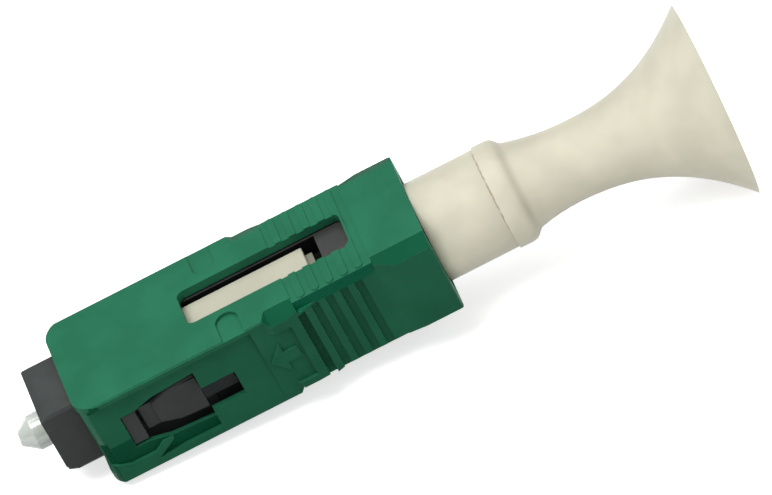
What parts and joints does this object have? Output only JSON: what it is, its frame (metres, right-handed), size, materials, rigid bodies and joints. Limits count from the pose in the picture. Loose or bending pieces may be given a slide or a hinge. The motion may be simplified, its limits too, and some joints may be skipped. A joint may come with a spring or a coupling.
{
  "type": "sc fibre connector",
  "caption": "Field-installable SC fibre connector with angled ferrule, sliding grip, press-down splice cap and bell-mouth cable boot.",
  "frame": {"origin": "on the ferrule axis, in the plug frame's front face", "axes": "+X from the plug nose to the cable boot, +Z out of the grip's window face, +Y completes the right-handed frame"},
  "size_m": [0.0502, 0.0136, 0.0136],
  "materials": {
    "grip_plastic": "satin",
    "frame_plastic": "satin",
    "backbone_plastic": "satin",
    "zirconia": "polished",
    "fibre_glass": "polished",
    "element_aluminium": "satin",
    "spring_steel": "drawn",
    "boot_plastic": "satin"
  },
  "bodies": {
    "plug": {"plug_frame": "frame_plastic", "backbone": "backbone_plastic", "coil_spring": "spring_steel", "boot_sleeve": "boot_plastic", "bell_boot": "boot_plastic"},
    "grip": {"outer_grip": "grip_plastic"},
    "ferrule_group": {"ferrule": "zirconia", "ferrule_flange": "frame_plastic", "stub_fibre": "fibre_glass", "splice_body": "backbone_plastic", "splice_element": "element_aluminium"},
    "cap": {"actuation_cap": "boot_plastic"}
  },
  "joints": [
    {"name": "grip_slide", "type": "slide", "parent": "plug", "child": "grip", "axis": [-1, 0, 0], "range_m": [0, 0.0012]},
    {"name": "ferrule_float", "type": "slide", "parent": "plug", "child": "ferrule_group", "axis": [1, 0, 0], "range_m": [0, 0.0005], "stiffness_N_per_m": 1000, "springref_m": -0.003, "deforming": ["coil_spring"]},
    {"name": "cap_press", "type": "slide", "parent": "ferrule_group", "child": "cap", "axis": [0, 0, -1], "range_m": [0, 0.0007]}
  ]
}
